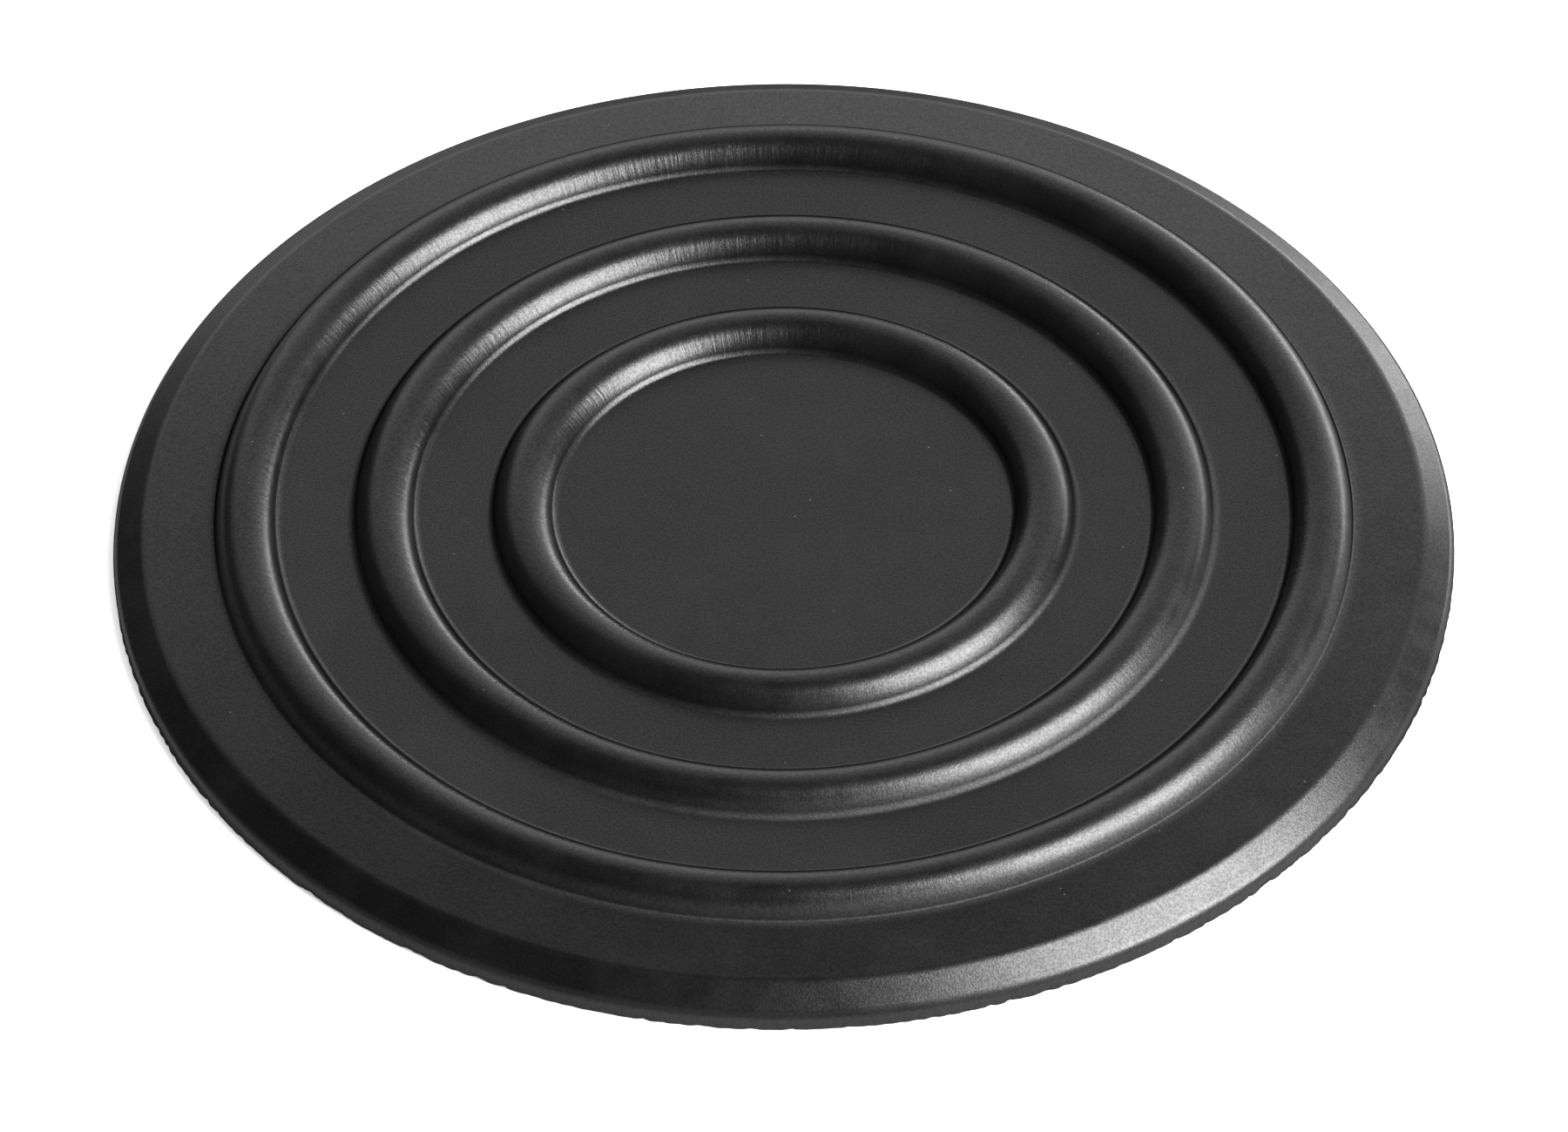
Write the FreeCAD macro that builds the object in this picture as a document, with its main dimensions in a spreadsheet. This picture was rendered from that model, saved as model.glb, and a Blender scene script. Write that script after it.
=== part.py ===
"""A flat rubber sink stopper: one moulded disc with three concentric ribs on its top face.

Frame: millimetres, +Z up, origin at the centre of the flat underside.
Outward from the centre, the top face runs flat across the ribs, falls away as a gentle skirt outside
the last rib, turns down a bevel and ends at a thin upright lip.
"""

import FreeCAD, Part
import math
import os
import Sketcher

DIMENSIONS = {
    "rim_radius": 63.5,        # half of 5 inches
    "lip_height": 1.8,         # upright edge of the rim
    "bevel_width": 2.9,        # along the radius
    "bevel_drop": 1.7,
    "skirt_drop": 0.9,         # fall of the skirt from the flat face to the top of the bevel
    "skirt_offset": 2.0,       # the skirt starts this far outside the last rib's centre line
    "first_rib_radius": 24.7,  # centre line of the innermost rib
    "rib_pitch": 13.1,         # from centre line to centre line
    "rib_height": 2.15,        # crown above the flat face
    "crown_radius": 3.05,
    "foot_fillet": 0.95,
    "skirt_fillet": 0.25,      # where the last rib meets the falling skirt
    "edge_rounding": 2.0,      # between skirt and bevel
    "lip_rounding": 1.2,       # between bevel and lip
}
RIB_COUNT = 3
NODE = "stopper_disc"

UPRIGHT = 0.999           # an edge's axis at least this upright counts as the disc's own axis
SIZE_TOLERANCE = 0.01
FULL_TURN = 360.0
ROUGH_SECTION = [(0, 0), (60, 0), (60, 1), (55, 3), (50, 4), (0, 4)]  # corners before the sheet ties them
ROUGH_RIB_RADIUS = 2.0    # likewise, a rib's round section before it is tied

EDGE_RADIUS = "(Dims.rim_radius - Dims.bevel_width)"
EDGE_HEIGHT = "(Dims.lip_height + Dims.bevel_drop)"
FACE_HEIGHT = "(Dims.lip_height + Dims.bevel_drop + Dims.skirt_drop)"
LAST_RIB_RADIUS = f"(Dims.first_rib_radius + {RIB_COUNT - 1} * Dims.rib_pitch)"


def make_sheet(doc):
    """The driving dimensions, one named cell each."""
    sheet = doc.addObject("Spreadsheet::Sheet", "Dims")
    for row, (name, value) in enumerate(DIMENSIONS.items(), start=1):
        sheet.set(f"A{row}", name)
        sheet.set(f"B{row}", str(value))
        sheet.setAlias(f"B{row}", name)
    doc.recompute()
    return sheet


def new_sketch(body, name):
    """An empty sketch in the upright plane through the axis: its X is the radius, its Y the height."""
    sketch = body.newObject("Sketcher::SketchObject", name)
    plane = next(item for item in body.Origin.OriginFeatures if item.Role == "XZ_Plane")
    sketch.AttachmentSupport = [(plane, "")]
    sketch.MapMode = "FlatFace"
    return sketch


def bind(sketch, name, constraint, expression):
    """Adds a named dimension to a sketch and ties it to the sheet."""
    index = sketch.addConstraint(constraint)
    sketch.renameConstraint(index, name)
    sketch.setExpression(f"Constraints.{name}", expression)


def bind_place(sketch, label, line, point, radius=None, height=None):
    """Ties a point's distance from the axis, its height above the underside, or both."""
    if radius:
        across = Sketcher.Constraint("DistanceX", -1, 1, line, point, 1.0)
        bind(sketch, f"{label}_radius", across, radius)
    if height:
        upward = Sketcher.Constraint("DistanceY", -1, 1, line, point, 1.0)
        bind(sketch, f"{label}_height", upward, height)


def revolve(body, sketch, name):
    """A full turn of a sketch about the disc's axis, added to the body."""
    feature = body.newObject("PartDesign::Revolution", name)
    feature.Profile = sketch
    feature.ReferenceAxis = (sketch, ["V_Axis"])
    feature.Angle = FULL_TURN


def add_disc(body):
    """The disc without its ribs, from half of its section."""
    sketch = new_sketch(body, "DiscProfile")
    points = [FreeCAD.Vector(radius, height, 0) for radius, height in ROUGH_SECTION]
    sides = [Part.LineSegment(near, far) for near, far in zip(points, points[1:] + points[:1])]
    sketch.addGeometry(sides, False)
    for side in range(len(sides)):
        following = (side + 1) % len(sides)
        sketch.addConstraint(Sketcher.Constraint("Coincident", side, 2, following, 1))
    underside, lip, bevel, skirt, face, axis = range(len(sides))
    sketch.addConstraint(Sketcher.Constraint("Coincident", underside, 1, -1, 1))
    sketch.addConstraint(Sketcher.Constraint("Horizontal", underside))
    sketch.addConstraint(Sketcher.Constraint("Vertical", lip))
    sketch.addConstraint(Sketcher.Constraint("Horizontal", face))
    sketch.addConstraint(Sketcher.Constraint("Vertical", axis))
    skirt_start = f"{LAST_RIB_RADIUS} + Dims.skirt_offset"
    bind_place(sketch, "rim_foot", underside, 2, radius="Dims.rim_radius")
    bind_place(sketch, "lip_top", lip, 2, height="Dims.lip_height")
    bind_place(sketch, "bevel_top", bevel, 2, radius=EDGE_RADIUS, height=EDGE_HEIGHT)
    bind_place(sketch, "skirt_top", skirt, 2, radius=skirt_start, height=FACE_HEIGHT)
    revolve(body, sketch, "Disc")


def add_rib(body, index):
    """One rib: a ring of round section, sunk until its crown stands rib_height above the flat face."""
    sketch = new_sketch(body, f"Rib{index + 1}Profile")
    start = FreeCAD.Vector(10 * ROUGH_RIB_RADIUS, ROUGH_RIB_RADIUS, 0)
    sketch.addGeometry(Part.Circle(start, FreeCAD.Vector(0, 0, 1), ROUGH_RIB_RADIUS), False)
    rib_radius = f"Dims.first_rib_radius + {index} * Dims.rib_pitch"
    height = f"{FACE_HEIGHT} + Dims.rib_height - Dims.crown_radius"
    bind_place(sketch, "centre", 0, 3, radius=rib_radius, height=height)
    bind(sketch, "crown_radius", Sketcher.Constraint("Radius", 0, ROUGH_RIB_RADIUS), "Dims.crown_radius")
    revolve(body, sketch, f"Rib{index + 1}")


def foot_half_width(sheet):
    """Distance from a rib's centre line to where its round section meets the flat face."""
    sunk = sheet.crown_radius - sheet.rib_height
    return math.sqrt(sheet.crown_radius ** 2 - sunk ** 2)


def circles_between(shape, inner, outer, lowest, highest):
    """Names of the shape's circular edges about the axis within the given radii and heights."""
    names = []
    for number, edge in enumerate(shape.Edges, start=1):
        if not isinstance(edge.Curve, Part.Circle) or abs(edge.Curve.Axis.z) < UPRIGHT:
            continue
        radius_fits = inner < edge.Curve.Radius < outer
        height_fits = lowest < edge.Curve.Center.z < highest
        if radius_fits and height_fits:
            names.append(f"Edge{number}")
    return names


def add_fillet(body, name, edges, size):
    """Rounds the named edges of the body as it stands."""
    base = body.Tip
    fillet = body.newObject("PartDesign::Fillet", name)
    fillet.Base = (base, edges)
    fillet.setExpression("Radius", size)
    body.Document.recompute()


def add_foot_fillets(body, sheet):
    """Hollow blends where the ribs rise from the disc. The outermost, onto the skirt, is the tightest."""
    half = foot_half_width(sheet)
    face = sheet.lip_height + sheet.bevel_drop + sheet.skirt_drop
    last_rib = sheet.first_rib_radius + (RIB_COUNT - 1) * sheet.rib_pitch
    innermost = sheet.first_rib_radius - half
    low = face - sheet.skirt_drop
    high = face + sheet.rib_height / 2
    feet = circles_between(body.Shape, innermost - half, last_rib, low, high)
    add_fillet(body, "FootFillets", feet, "Dims.foot_fillet")
    skirt_foot = circles_between(body.Shape, last_rib + half / 2, last_rib + 2 * half, low, high)
    add_fillet(body, "SkirtFillet", skirt_foot, "Dims.skirt_fillet")


def add_rim_roundings(body, sheet):
    """The two outer corners of the top, slightly rounded as rubber moulds."""
    edge = sheet.rim_radius - sheet.bevel_width
    margin = sheet.edge_rounding
    face = sheet.lip_height + sheet.bevel_drop + sheet.skirt_drop
    bevel_top = circles_between(body.Shape, edge - margin, edge + margin, sheet.lip_height, face)
    add_fillet(body, "EdgeRounding", bevel_top, "Dims.edge_rounding")
    margin = sheet.lip_rounding
    near_lip = (sheet.lip_height - margin, sheet.lip_height + margin)
    lip_top = circles_between(body.Shape, sheet.rim_radius - margin, sheet.rim_radius + margin, *near_lip)
    add_fillet(body, "LipRounding", lip_top, "Dims.lip_rounding")


def make_stopper(doc, sheet):
    """The whole moulding as one body."""
    body = doc.addObject("PartDesign::Body", "StopperDisc")
    body.Label = NODE
    body.Placement = FreeCAD.Placement()
    add_disc(body)
    for index in range(RIB_COUNT):
        add_rib(body, index)
    doc.recompute()
    add_foot_fillets(body, sheet)
    add_rim_roundings(body, sheet)
    return body


def check(doc, body, sheet):
    """Stops unless every object is sound and the body has the height and width that the sheet gives."""
    for item in doc.Objects:
        if "Invalid" in item.State or "Error" in item.State:
            raise RuntimeError(f"{item.Name} failed: {item.State}")
    if body.Shape.isNull() or not body.Shape.isValid():
        raise RuntimeError(f"{body.Label} has no valid shape")
    box = body.Shape.BoundBox
    face = sheet.lip_height + sheet.bevel_drop + sheet.skirt_drop
    if abs(box.ZLength - face - sheet.rib_height) > SIZE_TOLERANCE:
        raise RuntimeError(f"height is {box.ZLength:.3f} mm")
    if abs(box.XLength - 2 * sheet.rim_radius) > SIZE_TOLERANCE:
        raise RuntimeError(f"width is {box.XLength:.3f} mm")
    print(f"{body.Label}: {len(body.Shape.Solids)} solid, {body.Shape.Volume / 1000:.2f} cm3")


def main():
    doc = FreeCAD.newDocument("SinkStopper")
    sheet = make_sheet(doc)
    body = make_stopper(doc, sheet)
    doc.recompute()
    check(doc, body, sheet)
    os.makedirs("parts", exist_ok=True)
    body.Shape.exportStep(f"parts/{body.Label}.step")


main()
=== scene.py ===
"""The looks of a flat rubber sink stopper: a fine mesh of the moulding, matt black rubber, floor and lights.

Everything is in metres in the CAD frame: +Z up, origin at the centre of the flat underside.
"""

import math

import bpy
import numpy as np
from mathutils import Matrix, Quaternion, Vector


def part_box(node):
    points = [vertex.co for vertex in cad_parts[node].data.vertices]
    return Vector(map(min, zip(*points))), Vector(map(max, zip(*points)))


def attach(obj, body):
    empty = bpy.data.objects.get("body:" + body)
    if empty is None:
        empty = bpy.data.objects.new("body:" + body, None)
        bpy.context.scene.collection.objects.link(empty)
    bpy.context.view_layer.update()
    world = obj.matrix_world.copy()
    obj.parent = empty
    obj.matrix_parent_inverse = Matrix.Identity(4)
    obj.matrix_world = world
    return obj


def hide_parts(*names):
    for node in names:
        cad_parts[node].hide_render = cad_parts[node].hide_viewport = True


MM = 0.001
NODE = "stopper_disc"

# The moulding's section, as the CAD part has it.
RIM_RADIUS = 63.5 * MM
LIP_HEIGHT = 1.8 * MM
BEVEL_WIDTH = 2.9 * MM
BEVEL_DROP = 1.7 * MM
SKIRT_DROP = 0.9 * MM
SKIRT_OFFSET = 2.0 * MM
FIRST_RIB_RADIUS = 24.7 * MM
RIB_PITCH = 13.1 * MM
RIB_COUNT = 3
RIB_HEIGHT = 2.15 * MM
CROWN_RADIUS = 3.05 * MM
FOOT_FILLET = 0.95 * MM
SKIRT_FILLET = 0.25 * MM
EDGE_ROUNDING = 2.0 * MM
LIP_ROUNDING = 1.2 * MM
LAST_RIB_RADIUS = FIRST_RIB_RADIUS + (RIB_COUNT - 1) * RIB_PITCH

# Mesh fineness: steps round the disc and along each kind of stretch. A flat middle has rings at these
# shares of its radius, and each ring inside the coarse share has half the steps of the one outside it.
TURN_STEPS = 640
CROWN_STEPS = 7
FILLET_STEPS = 6
CORNER_STEPS = 5
LIP_STEPS = 5
BEVEL_STEPS = 3
LAND_STEPS = 3
MIDDLE_SHARES = (0.8, 0.6, 0.4, 0.25, 0.12)
COARSE_SHARE = 0.7

# The small differences that a ring's normals come from: an angle in radians, which is divided by the
# ring's steps, and a length along the section.
ANGLE_DIFFERENCE = 0.05
LENGTH_DIFFERENCE = 0.002 * MM

# The rim's lower edge, trimmed by hand: hardly rounded, with a slight wander and small nicks in it. The
# wander has a fewest and a most waves round the rim. The power makes most of the nicks shallow.
FLASH_ROUNDING = 0.12 * MM
TRIM_SEED = 7
TRIM_WANDER = 0.03 * MM
TRIM_WAVES = (40, 300)
TRIM_WAVE_COUNT = 16
NICK_COUNT = 220
NICK_DEPTHS = (0.03 * MM, 0.2 * MM)
NICK_DEPTH_POWER = 3
NICK_WIDTHS = (0.15 * MM, 0.5 * MM)
NICK_SHARPNESS = 1.6
TRIM_REACH = 0.55 * MM
TRIM_LIFT = 0.35

# Slight unevenness of the top, inwards from halfway up the bevel.
WAVE_SEED = 11
WAVE_COUNT = 8
WAVE_HEIGHT = 0.004 * MM
WAVE_LENGTHS = (14.0 * MM, 34.0 * MM)

# The camera: a long lens from the front, well above the horizon.
CAMERA_ELEVATION = math.radians(43.96)
CAMERA_ROLL = math.radians(-0.28)
CAMERA_DISTANCE = 1.0465
CAMERA_LENS = 254.1
SENSOR_WIDTH = 36.0
AIM_FORWARD = 7.6 * MM
CLIP_START = 0.05
CLIP_END = 60.0

# The rubber's fine relief: matt grain, shallow dimples, tool marks on the ribs' slopes, cuts on the lip.
GRAIN_SIZE = 0.2 * MM
GRAIN_HEIGHT = 0.013 * MM
DIMPLE_SIZE = 2.2 * MM
DIMPLE_HEIGHT = 0.006 * MM
SLOPE_PLACE = 1.9 * MM
SLOPE_REACH = 1.5 * MM
OUTER_STREAK_SHARE = 0.35
STREAK_WIDTH = 0.4 * MM
STREAK_LENGTH = 2.5 * MM
STREAK_HEIGHT = 0.036 * MM
CUT_WIDTH = 0.5 * MM
CUT_LENGTH = 3.0 * MM
CUT_HEIGHT = 0.03 * MM
CUT_SHARE = 0.6  # the lip is fully cut up to this share of its height, and less and less above it

# Its finish: roughness, sheen, and the share of grey in the black. A spread is the range of a noise that
# is drawn out to the full effect.
BLACK = (0.0012, 0.0012, 0.0012, 1.0)
GREY = (0.12, 0.12, 0.12, 1.0)
NOISE_SPREAD = (0.3, 0.7)
ROUGHNESS = 0.31
BLOTCH_SIZE = 3.0 * MM
BLOTCH_ROUGHNESS = 0.025
CUT_ROUGHNESS = 0.25
SCUFF_PLACE = 2.9 * MM
SCUFF_REACH = 1.1 * MM
SCUFF_ROUGHNESS = 0.35
FIRST_RIB_SCUFF = 0.3  # share of the last rib's scuffing
SPECULAR_LEVEL = 0.5
PORE_SIZE = 0.22 * MM
PORE_DULLNESS = 0.12
SHEEN_LOSS = (0.5, 0.82)  # slants at which the sheen starts to fall and is down to what is left
SHEEN_LEFT = 0.02
CUT_WHITENESS = 0.06
BLOOM_SIZE = 12.0 * MM
BLOOM_SPREAD = (0.35, 0.7)
BLOOM_WHITENESS = 0.01
DUST_SPACING = 4.0 * MM
DUST_SHARE = 0.03
DUST_CORE = 0.6
DUST_WHITENESS = 0.3
# Painted highlight: a lighter band of colour all round the rim at the lip's top edge, standing in for the lip
# rounding's shine.
LIP_HIGHLIGHT_REACH = 0.35 * MM
LIP_HIGHLIGHT_WHITENESS = 0.04

# The studio. The floor and the world are dimmer in the rubber's reflections than to the eye.
FLOOR_REACH = 12.0
FLOOR_ROUGHNESS = 0.9
FLOOR_PALE = (0.9, 0.9, 0.9, 1.0)
FLOOR_IN_REFLECTIONS = (0.2, 0.2, 0.2, 1.0)
WORLD_COLOUR = (1.0, 1.0, 1.0, 1.0)
WORLD_STRENGTH = 1.3
WORLD_IN_REFLECTIONS = 0.05


def arc(centre, radius, start, end, steps):
    """Stations along an arc of the section, both ends included: a place and the direction of travel."""
    turn = math.copysign(1.0, end - start)
    stations = []
    for angle in np.linspace(start, end, steps + 1):
        outwards = Vector((math.cos(angle), math.sin(angle)))
        ahead = Vector((-outwards.y, outwards.x)) * turn
        stations.append((centre + outwards * radius, ahead))
    return stations


def straight(start, end, steps):
    """Stations along a straight stretch of the section, its ends left out."""
    ahead = (end - start).normalized()
    return [(start.lerp(end, step / steps), ahead) for step in range(1, steps)]


def angle_of(vector):
    return math.atan2(vector.y, vector.x)


def rounded_corner(before, corner, after, radius):
    """Stations along the arc that rounds a corner of the section between two straight sides."""
    towards_before = (before - corner).normalized()
    towards_after = (after - corner).normalized()
    half = towards_before.angle(towards_after) / 2
    centre = corner + (towards_before + towards_after).normalized() * (radius / math.sin(half))
    start = angle_of(corner + towards_before * (radius / math.tan(half)) - centre)
    end = angle_of(corner + towards_after * (radius / math.tan(half)) - centre)
    if end - start > math.pi:
        end -= 2 * math.pi
    if start - end > math.pi:
        end += 2 * math.pi
    return arc(centre, radius, start, end, CORNER_STEPS)


def foot_centre(crown, side, fillet, ground, slope):
    """Centre of a rib's foot fillet, and the ground's direction away from the rib.

    side is +1 outside the rib and -1 inside. The ground is a line through the point ground that falls
    by slope away from the rib. The centre lies off the ground by the fillet's radius and off the
    crown's centre by both radii.
    """
    along = Vector((side, -slope)).normalized()
    up = Vector((-along.y, along.x)) * side
    gap = ground + up * fillet - crown
    reach = CROWN_RADIUS + fillet
    along_gap = gap.dot(along)
    travel = math.sqrt(along_gap ** 2 - gap.length_squared + reach ** 2) - along_gap
    return crown + gap + along * travel, up


def rib(crown, face, outer_fillet, ground, slope):
    """Stations over one rib, from its outer foot over the crown to its inner foot."""
    outer, outer_up = foot_centre(crown, 1, outer_fillet, ground, slope)
    inner, inner_up = foot_centre(crown, -1, FOOT_FILLET, Vector((crown.x, face)), 0.0)
    outer_join = angle_of(outer - crown)
    inner_join = angle_of(inner - crown)
    stations = arc(outer, outer_fillet, angle_of(-outer_up), outer_join - math.pi, FILLET_STEPS)
    stations += arc(crown, CROWN_RADIUS, outer_join, inner_join, 2 * CROWN_STEPS)[1:]
    inner_start = inner_join - math.pi
    inner_end = angle_of(-inner_up)
    return stations + arc(inner, FOOT_FILLET, inner_start, inner_end, FILLET_STEPS)[1:]


def section(rim_radius, height):
    """Half of the section: the rim's stations and the top's, up to the flat middle inside the first rib."""
    face = height - RIB_HEIGHT
    centre = Vector((0.0, 0.0))
    edge = Vector((rim_radius - BEVEL_WIDTH, LIP_HEIGHT + BEVEL_DROP))
    skirt_top = Vector((LAST_RIB_RADIUS + SKIRT_OFFSET, face))
    skirt_slope = SKIRT_DROP / (edge.x - skirt_top.x)
    rim_foot = Vector((rim_radius, 0.0))
    rim_top = Vector((rim_radius, LIP_HEIGHT))

    rim = rounded_corner(centre, rim_foot, rim_top, FLASH_ROUNDING)
    lip = rounded_corner(rim_foot, rim_top, edge, LIP_ROUNDING)
    rim += straight(rim[-1][0], lip[0][0], LIP_STEPS) + lip

    shoulder = rounded_corner(rim_top, edge, skirt_top, EDGE_ROUNDING)
    top = straight(rim[-1][0], shoulder[0][0], BEVEL_STEPS) + shoulder
    for index in reversed(range(RIB_COUNT)):
        crown = Vector((FIRST_RIB_RADIUS + index * RIB_PITCH, height - CROWN_RADIUS))
        if index == RIB_COUNT - 1:
            stations = rib(crown, face, SKIRT_FILLET, skirt_top, skirt_slope)
        else:
            stations = rib(crown, face, FOOT_FILLET, Vector((crown.x, face)), 0.0)
        top += straight(top[-1][0], stations[0][0], LAND_STEPS) + stations
    return rim, top


def trim_depth(angles):
    """How far the trimming cut into the rim's lower edge, at each angle."""
    rng = np.random.default_rng(TRIM_SEED)
    depth = np.full_like(angles, TRIM_WANDER)
    waves = rng.integers(*TRIM_WAVES, TRIM_WAVE_COUNT)
    for count, phase in zip(waves, rng.uniform(0, 2 * math.pi, TRIM_WAVE_COUNT)):
        depth += TRIM_WANDER / math.sqrt(TRIM_WAVE_COUNT) * np.sin(count * angles + phase)
    places = rng.uniform(0, 2 * math.pi, NICK_COUNT)
    shallowest, deepest = NICK_DEPTHS
    depths = rng.uniform(0, 1, NICK_COUNT) ** NICK_DEPTH_POWER * (deepest - shallowest) + shallowest
    widths = rng.uniform(*NICK_WIDTHS, NICK_COUNT)
    for place, nick, width in zip(places, depths, widths):
        away = (angles - place + math.pi) % (2 * math.pi) - math.pi
        depth += nick * np.exp(-np.abs(away * RIM_RADIUS / width) ** NICK_SHARPNESS)
    return np.maximum(depth, 0.0)


def wave_height(x, y):
    """Height of the top's slight unevenness."""
    rng = np.random.default_rng(WAVE_SEED)
    height = np.zeros_like(x)
    for heading, phase in rng.uniform(0, 2 * math.pi, (WAVE_COUNT, 2)):
        length = rng.uniform(*WAVE_LENGTHS)
        along = x * math.cos(heading) + y * math.sin(heading)
        height += WAVE_HEIGHT * np.sin(2 * math.pi * along / length + phase)
    return height


def place(radius, height, angles):
    """Where points of the section at one radius and height come to lie, all round the disc."""
    depth = np.zeros_like(angles)
    if radius > RIM_RADIUS - BEVEL_WIDTH and height < LIP_HEIGHT:
        depth = trim_depth(angles) * math.exp(-(height / TRIM_REACH) ** 2)
    across = radius - depth
    x = across * np.cos(angles)
    y = across * np.sin(angles)
    z = height + depth * TRIM_LIFT
    if height > LIP_HEIGHT + BEVEL_DROP / 2:
        z = z + wave_height(x, y)
    return np.stack([x, y, z], axis=1)


def ring(station, steps):
    """One ring's points and their outward normals, from small differences along and across it."""
    (radius, height), ahead = station
    angles = np.arange(steps) * (2 * math.pi / steps)
    points = place(radius, height, angles)
    turn = ANGLE_DIFFERENCE / steps
    shift = ahead * LENGTH_DIFFERENCE
    turned = place(radius, height, angles + turn) - place(radius, height, angles - turn)
    beyond = place(radius + shift.x, height + shift.y, angles)
    short = place(radius - shift.x, height - shift.y, angles)
    normals = np.cross(turned, beyond - short)
    normals /= np.linalg.norm(normals, axis=1, keepdims=True)
    return points, normals


def join_rings(first, first_count, second, second_count):
    """Faces between two neighbouring rings whose steps are equal or halve from one to the other."""
    if first_count == second_count:
        steps = [(i, (i + 1) % first_count) for i in range(first_count)]
        return [(first + i, first + j, second + j, second + i) for i, j in steps]
    second_is_fine = second_count > first_count
    fine, coarse = (second, first) if second_is_fine else (first, second)
    count = min(first_count, second_count)
    faces = []
    for i in range(count):
        j = (i + 1) % count
        left = fine + 2 * i
        middle = left + 1
        right = fine + 2 * j
        parts = [(left, middle, coarse + i), (middle, coarse + j, coarse + i), (middle, right, coarse + j)]
        faces += [tuple(reversed(part)) for part in parts] if second_is_fine else parts
    return faces


def middle_rings(radius, height, steps):
    """Rings over a flat middle, from its edge inwards, with fewer steps nearer the centre."""
    inwards = Vector((-1.0, 0.0))
    rings = []
    for share in MIDDLE_SHARES:
        if share < COARSE_SHARE:
            steps //= 2
        rings.append(ring((Vector((radius * share, height)), inwards), steps))
    return rings


def disc_mesh(rim_radius, height):
    """Vertices, normals and faces of the whole moulding, closed at the centres of its top and underside."""
    rim, top = section(rim_radius, height)
    underside = middle_rings(rim[0][0].x, 0.0, 2 * TURN_STEPS)
    underside = [(points, -normals) for points, normals in reversed(underside)]
    rings = underside + [ring(station, 2 * TURN_STEPS) for station in rim]
    rings += [ring(station, TURN_STEPS) for station in top]
    middle_edge, _ = top[-1]
    rings += middle_rings(middle_edge.x, middle_edge.y, TURN_STEPS)
    counts = [len(points) for points, _ in rings]
    starts = np.concatenate([[0], np.cumsum(counts)])
    faces = []
    for index in range(len(rings) - 1):
        faces += join_rings(starts[index], counts[index], starts[index + 1], counts[index + 1])
    centre_below = starts[-1]
    centre_above = centre_below + 1
    faces += [(centre_below, (i + 1) % counts[0], i) for i in range(counts[0])]
    last = starts[-2]
    faces += [(centre_above, last + i, last + (i + 1) % counts[-1]) for i in range(counts[-1])]
    top_centre = place(0.0, middle_edge.y, np.zeros(1))[0]
    vertices = np.concatenate([points for points, _ in rings] + [[(0.0, 0.0, 0.0), top_centre]])
    normals = np.concatenate([normals for _, normals in rings] + [[(0.0, 0.0, -1.0), (0.0, 0.0, 1.0)]])
    return vertices, normals, faces


def make_disc():
    """The moulding as one smooth closed mesh that stands for the CAD node."""
    vertices, normals, faces = disc_mesh(RIM_RADIUS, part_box(NODE)[1][2])
    mesh = bpy.data.meshes.new("moulded_disc")
    mesh.from_pydata(vertices.tolist(), [], [[int(index) for index in face] for face in faces])
    mesh.shade_smooth()
    mesh.normals_split_custom_set_from_vertices(normals.tolist())
    disc = bpy.data.objects.new("moulded_disc", mesh)
    bpy.context.scene.collection.objects.link(disc)
    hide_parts(NODE)
    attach(disc, "root")
    return disc


class Graph:
    """Adds nodes to a material and links them up. Values may be sockets or plain numbers."""

    def __init__(self, name):
        self.material = bpy.data.materials.new(name)
        self.material.use_nodes = True
        self.tree = self.material.node_tree
        self.shader = self.tree.nodes["Principled BSDF"]

    def feed(self, socket, value):
        if isinstance(value, bpy.types.NodeSocket):
            self.tree.links.new(value, socket)
        else:
            socket.default_value = value

    def add(self, kind, inputs, **settings):
        """A node with its settings made and its inputs fed, by name or by index."""
        node = self.tree.nodes.new(kind)
        for name, value in settings.items():
            setattr(node, name, value)
        for key, value in inputs.items():
            self.feed(node.inputs[key], value)
        return node

    def math(self, operation, *values):
        return self.add("ShaderNodeMath", dict(enumerate(values)), operation=operation).outputs[0]

    def product(self, *values):
        result = values[0]
        for value in values[1:]:
            result = self.math("MULTIPLY", result, value)
        return result

    def total(self, *values):
        result = values[0]
        for value in values[1:]:
            result = self.math("ADD", result, value)
        return result

    def noise(self, vector, size, detail=2.0, roughness=0.5):
        """Noise with features of about the given size, between 0 and 1."""
        inputs = {"Vector": vector, "Scale": 1 / size, "Detail": detail, "Roughness": roughness}
        return self.add("ShaderNodeTexNoise", inputs).outputs["Fac"]

    def ramp(self, value, start, end, low=0.0, high=1.0):
        """A smooth step from low to high as value goes from start to end."""
        inputs = {"Value": value, "From Min": start, "From Max": end, "To Min": low, "To Max": high}
        return self.add("ShaderNodeMapRange", inputs, interpolation_type="SMOOTHSTEP").outputs["Result"]

    def band(self, value, centre, reach):
        """1 where value equals centre, falling smoothly to 0 at reach on either side."""
        away = self.math("ABSOLUTE", self.math("SUBTRACT", value, centre))
        return self.ramp(away, 0.0, reach, 1.0, 0.0)


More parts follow.
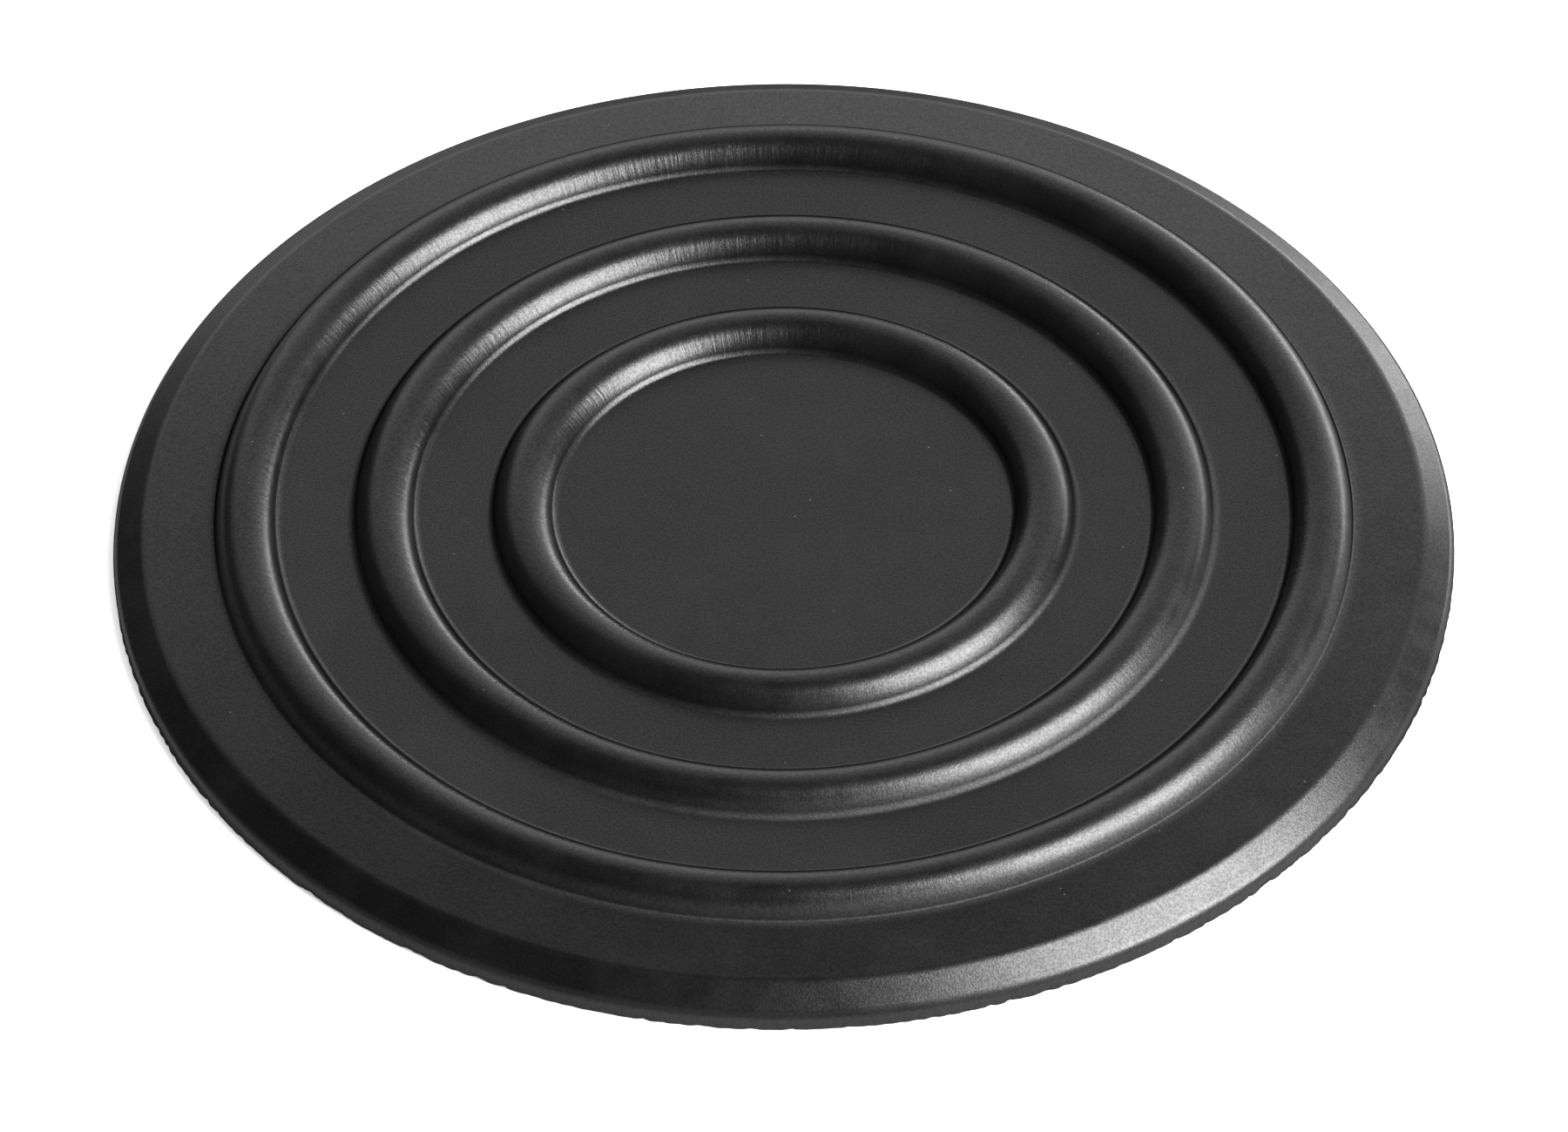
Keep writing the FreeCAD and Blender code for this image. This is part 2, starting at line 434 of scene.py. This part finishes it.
class PlaceOnDisc:
    """Where a point lies on the disc: its radius, height, heading and distance from the nearest rib."""

    def __init__(self, graph):
        coordinates = graph.add("ShaderNodeTexCoord", {})
        self.point = coordinates.outputs["Object"]
        parts = graph.add("ShaderNodeSeparateXYZ", {"Vector": self.point})
        self.height = parts.outputs["Z"]
        flat = graph.add("ShaderNodeCombineXYZ", {"X": parts.outputs["X"], "Y": parts.outputs["Y"]})
        flat = flat.outputs["Vector"]
        self.radius = graph.add("ShaderNodeVectorMath", {0: flat}, operation="LENGTH").outputs["Value"]
        heading = graph.add("ShaderNodeVectorMath", {0: flat}, operation="NORMALIZE").outputs["Vector"]
        self.heading = graph.add("ShaderNodeSeparateXYZ", {"Vector": heading})
        pitches = graph.math("DIVIDE", graph.math("SUBTRACT", self.radius, FIRST_RIB_RADIUS), RIB_PITCH)
        index = graph.math("ROUND", pitches)
        index = graph.math("MINIMUM", graph.math("MAXIMUM", index, 0.0), RIB_COUNT - 1.0)
        self.rib_radius = graph.math("MULTIPLY_ADD", index, RIB_PITCH, FIRST_RIB_RADIUS)
        self.from_crown = graph.math("SUBTRACT", self.radius, self.rib_radius)

    def streaks(self, graph, ring_radius, across, width, length):
        """Noise drawn out along the radius or the height: narrow round the disc, long the other way."""
        inputs = {
            "X": graph.math("MULTIPLY", self.heading.outputs["X"], graph.math("DIVIDE", ring_radius, width)),
            "Y": graph.math("MULTIPLY", self.heading.outputs["Y"], graph.math("DIVIDE", ring_radius, width)),
            "Z": graph.math("DIVIDE", across, length),
        }
        vector = graph.add("ShaderNodeCombineXYZ", inputs).outputs["Vector"]
        return graph.noise(vector, 1.0, roughness=0.55)


def surface_height(graph, place_on_disc, on_lip):
    """The rubber's fine relief, in metres."""
    point = place_on_disc.point
    grain = graph.product(graph.noise(point, GRAIN_SIZE, roughness=0.6), GRAIN_HEIGHT)
    dimples = graph.product(graph.noise(point, DIMPLE_SIZE), DIMPLE_HEIGHT)
    inner_slope = graph.band(place_on_disc.from_crown, -SLOPE_PLACE, SLOPE_REACH)
    outer_slope = graph.band(place_on_disc.from_crown, SLOPE_PLACE, SLOPE_REACH)
    slopes = graph.math("MULTIPLY_ADD", outer_slope, OUTER_STREAK_SHARE, inner_slope)
    streaks = place_on_disc.streaks(
        graph, place_on_disc.rib_radius, place_on_disc.radius, STREAK_WIDTH, STREAK_LENGTH)
    chatter = graph.product(streaks, slopes, STREAK_HEIGHT)
    cuts = place_on_disc.streaks(graph, place_on_disc.radius, place_on_disc.height, CUT_WIDTH, CUT_LENGTH)
    trimming = graph.product(cuts, on_lip, CUT_HEIGHT)
    return graph.total(grain, dimples, chatter, trimming)


def surface_roughness(graph, place_on_disc, on_lip):
    """The rubber's roughness: slightly blotchy, duller on the cut lip and on the ribs' scuffed outer feet."""
    blotches = graph.noise(place_on_disc.point, BLOTCH_SIZE, detail=3.0, roughness=0.6)
    scuffed = graph.product(
        graph.band(place_on_disc.from_crown, SCUFF_PLACE, SCUFF_REACH),
        graph.ramp(place_on_disc.radius, FIRST_RIB_RADIUS, LAST_RIB_RADIUS, FIRST_RIB_SCUFF, 1.0),
        SCUFF_ROUGHNESS)
    return graph.total(
        scuffed,
        graph.ramp(blotches, *NOISE_SPREAD, -BLOTCH_ROUGHNESS, BLOTCH_ROUGHNESS),
        graph.product(on_lip, CUT_ROUGHNESS),
        ROUGHNESS)


def surface_sheen(graph, place_on_disc):
    """How strongly the rubber reflects: less in its pores, and hardly at all at the most slanting angles."""
    pores = graph.noise(place_on_disc.point, PORE_SIZE, detail=1.0)
    gloss = graph.ramp(pores, *NOISE_SPREAD, SPECULAR_LEVEL - PORE_DULLNESS, SPECULAR_LEVEL + PORE_DULLNESS)
    slant = graph.add("ShaderNodeLayerWeight", {"Blend": 0.5}).outputs["Facing"]
    return graph.product(gloss, graph.ramp(slant, *SHEEN_LOSS, 1.0, SHEEN_LEFT))


def surface_colour(graph, place_on_disc, on_lip):
    """Black, greyed by faint bloom, the cut lip, specks of dust and a painted highlight line along the lip's
    top.
    """
    point = place_on_disc.point
    bloom = graph.ramp(graph.noise(point, BLOOM_SIZE), *BLOOM_SPREAD, 0.0, BLOOM_WHITENESS)
    cells = graph.add("ShaderNodeTexVoronoi", {"Vector": point, "Scale": 1 / DUST_SPACING})
    is_dust = graph.ramp(cells.outputs["Distance"], DUST_SHARE, DUST_CORE * DUST_SHARE)
    white = graph.total(
        bloom,
        graph.product(on_lip, CUT_WHITENESS),
        graph.product(is_dust, DUST_WHITENESS),
        # The band at the lip's top height is a painted highlight: a lighter line of colour all round the rim.
        graph.product(graph.band(place_on_disc.height, LIP_HEIGHT, LIP_HIGHLIGHT_REACH), LIP_HIGHLIGHT_WHITENESS))
    mix = graph.add("ShaderNodeMix", {"Factor": white, 6: BLACK, 7: GREY}, data_type="RGBA")
    return mix.outputs[2]


def rubber_material():
    """Matt black moulded rubber, with a fine relief, pores, scuffs, a cut lip, faint bloom and dust."""
    graph = Graph("matt_black_rubber")
    place_on_disc = PlaceOnDisc(graph)
    on_lip = graph.ramp(place_on_disc.height, CUT_SHARE * LIP_HEIGHT, LIP_HEIGHT, 1.0, 0.0)
    relief = surface_height(graph, place_on_disc, on_lip)
    bump = graph.add("ShaderNodeBump", {"Height": relief, "Distance": 1.0, "Strength": 1.0})
    inputs = graph.shader.inputs
    graph.feed(inputs["Normal"], bump.outputs["Normal"])
    graph.feed(inputs["Roughness"], surface_roughness(graph, place_on_disc, on_lip))
    graph.feed(inputs["Specular IOR Level"], surface_sheen(graph, place_on_disc))
    graph.feed(inputs["Base Color"], surface_colour(graph, place_on_disc, on_lip))
    return graph.material


def floor_material():
    """Pale to the eye, dim in the rubber's reflections."""
    graph = Graph("pale_floor")
    graph.shader.inputs["Base Color"].default_value = FLOOR_PALE
    graph.shader.inputs["Roughness"].default_value = FLOOR_ROUGHNESS
    graph.shader.inputs["Specular IOR Level"].default_value = 0.0
    dim = graph.add("ShaderNodeBsdfDiffuse", {"Color": FLOOR_IN_REFLECTIONS})
    path = graph.add("ShaderNodeLightPath", {})
    mix = graph.add("ShaderNodeMixShader", {
        "Fac": path.outputs["Is Glossy Ray"], 1: graph.shader.outputs["BSDF"], 2: dim.outputs["BSDF"]})
    graph.feed(graph.tree.nodes["Material Output"].inputs["Surface"], mix.outputs["Shader"])
    return graph.material


def make_floor():
    """A plain pale floor under the object."""
    mesh = bpy.data.meshes.new("floor")
    signs = [(-1, -1), (1, -1), (1, 1), (-1, 1)]
    corners = [(x * FLOOR_REACH, y * FLOOR_REACH, 0.0) for x, y in signs]
    mesh.from_pydata(corners, [], [(0, 1, 2, 3)])
    floor = bpy.data.objects.new("floor", mesh)
    bpy.context.scene.collection.objects.link(floor)
    mesh.materials.append(floor_material())


def from_direction(azimuth, elevation, distance):
    """A place at an azimuth (0 is +X, 90 is +Y), elevation and distance from the object."""
    turn = math.radians(azimuth)
    rise = math.radians(elevation)
    level = math.cos(rise)
    return Vector((math.cos(turn) * level, math.sin(turn) * level, math.sin(rise))) * distance


def area_light(name, azimuth, elevation, distance, width, height, radiance, roll=0.0):
    """A rectangular light that faces the object. Its angles are in degrees.

    Its radiance is the brightness of its surface.
    """
    light = bpy.data.lights.new(name, "AREA")
    light.shape = "RECTANGLE"
    light.size = width
    light.size_y = height
    light.energy = radiance * math.pi * width * height
    lamp = bpy.data.objects.new(name, light)
    lamp.location = from_direction(azimuth, elevation, distance)
    facing = lamp.location.to_track_quat("Z", "Y")
    lamp.rotation_euler = (facing @ Quaternion((0.0, 0.0, 1.0), math.radians(roll))).to_euler()
    lamp.visible_camera = False
    bpy.context.scene.collection.objects.link(lamp)


def make_lights():
    """A tilted softbox at the right with its spill; behind, a pale sweep, its upper part and a low strip."""
    area_light(
        "softbox", azimuth=-21, elevation=42, distance=0.95, width=0.66, height=0.85, radiance=18.5, roll=-22)
    area_light("spill", azimuth=-32, elevation=24, distance=1.4, width=1.3, height=1.2, radiance=1.6)
    area_light("sweep", azimuth=83, elevation=19, distance=2.0, width=2.6, height=1.1, radiance=1.2)
    area_light("overhead", azimuth=85, elevation=47, distance=2.0, width=3.6, height=0.95, radiance=0.58)
    area_light("edge", azimuth=55, elevation=4, distance=2.0, width=1.5, height=0.28, radiance=9.0)


def make_world():
    """A pale studio: bright to the eye and to matt surfaces, dim in the rubber's reflections."""
    world = bpy.data.worlds.new("studio")
    bpy.context.scene.world = world
    world.use_nodes = True
    nodes = world.node_tree.nodes
    links = world.node_tree.links
    pale = nodes["Background"]
    dim = nodes.new("ShaderNodeBackground")
    for background, strength in ((pale, WORLD_STRENGTH), (dim, WORLD_IN_REFLECTIONS)):
        background.inputs["Color"].default_value = WORLD_COLOUR
        background.inputs["Strength"].default_value = strength
    path = nodes.new("ShaderNodeLightPath")
    mix = nodes.new("ShaderNodeMixShader")
    links.new(path.outputs["Is Glossy Ray"], mix.inputs["Fac"])
    links.new(pale.outputs["Background"], mix.inputs[1])
    links.new(dim.outputs["Background"], mix.inputs[2])
    links.new(mix.outputs["Shader"], nodes["World Output"].inputs["Surface"])


def make_camera(face_height):
    """The camera, aimed a little in front of the disc's centre."""
    data = bpy.data.cameras.new("camera")
    data.sensor_width = SENSOR_WIDTH
    data.lens = CAMERA_LENS
    data.clip_start = CLIP_START
    data.clip_end = CLIP_END
    camera = bpy.data.objects.new("camera", data)
    centre = Vector((0.0, 0.0, face_height))
    back = Vector((0.0, -math.cos(CAMERA_ELEVATION), math.sin(CAMERA_ELEVATION)))
    camera.location = centre + back * CAMERA_DISTANCE
    aim = centre - Vector((0.0, AIM_FORWARD, 0.0))
    look = (aim - camera.location).to_track_quat("-Z", "Y")
    camera.rotation_mode = "QUATERNION"
    camera.rotation_quaternion = look @ Quaternion((0.0, 0.0, 1.0), CAMERA_ROLL)
    bpy.context.scene.collection.objects.link(camera)
    bpy.context.scene.camera = camera


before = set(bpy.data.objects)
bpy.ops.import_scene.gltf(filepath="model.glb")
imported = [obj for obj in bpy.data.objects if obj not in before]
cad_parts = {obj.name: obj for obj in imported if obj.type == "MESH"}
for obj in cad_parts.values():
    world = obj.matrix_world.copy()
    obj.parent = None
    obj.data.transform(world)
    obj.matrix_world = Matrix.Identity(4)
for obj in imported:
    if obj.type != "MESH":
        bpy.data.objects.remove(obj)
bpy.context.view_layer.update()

disc = make_disc()
disc.data.materials.append(rubber_material())
make_floor()
make_lights()
make_world()
make_camera(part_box(NODE)[1][2] - RIB_HEIGHT)
bpy.context.scene.view_settings.view_transform = "Standard"
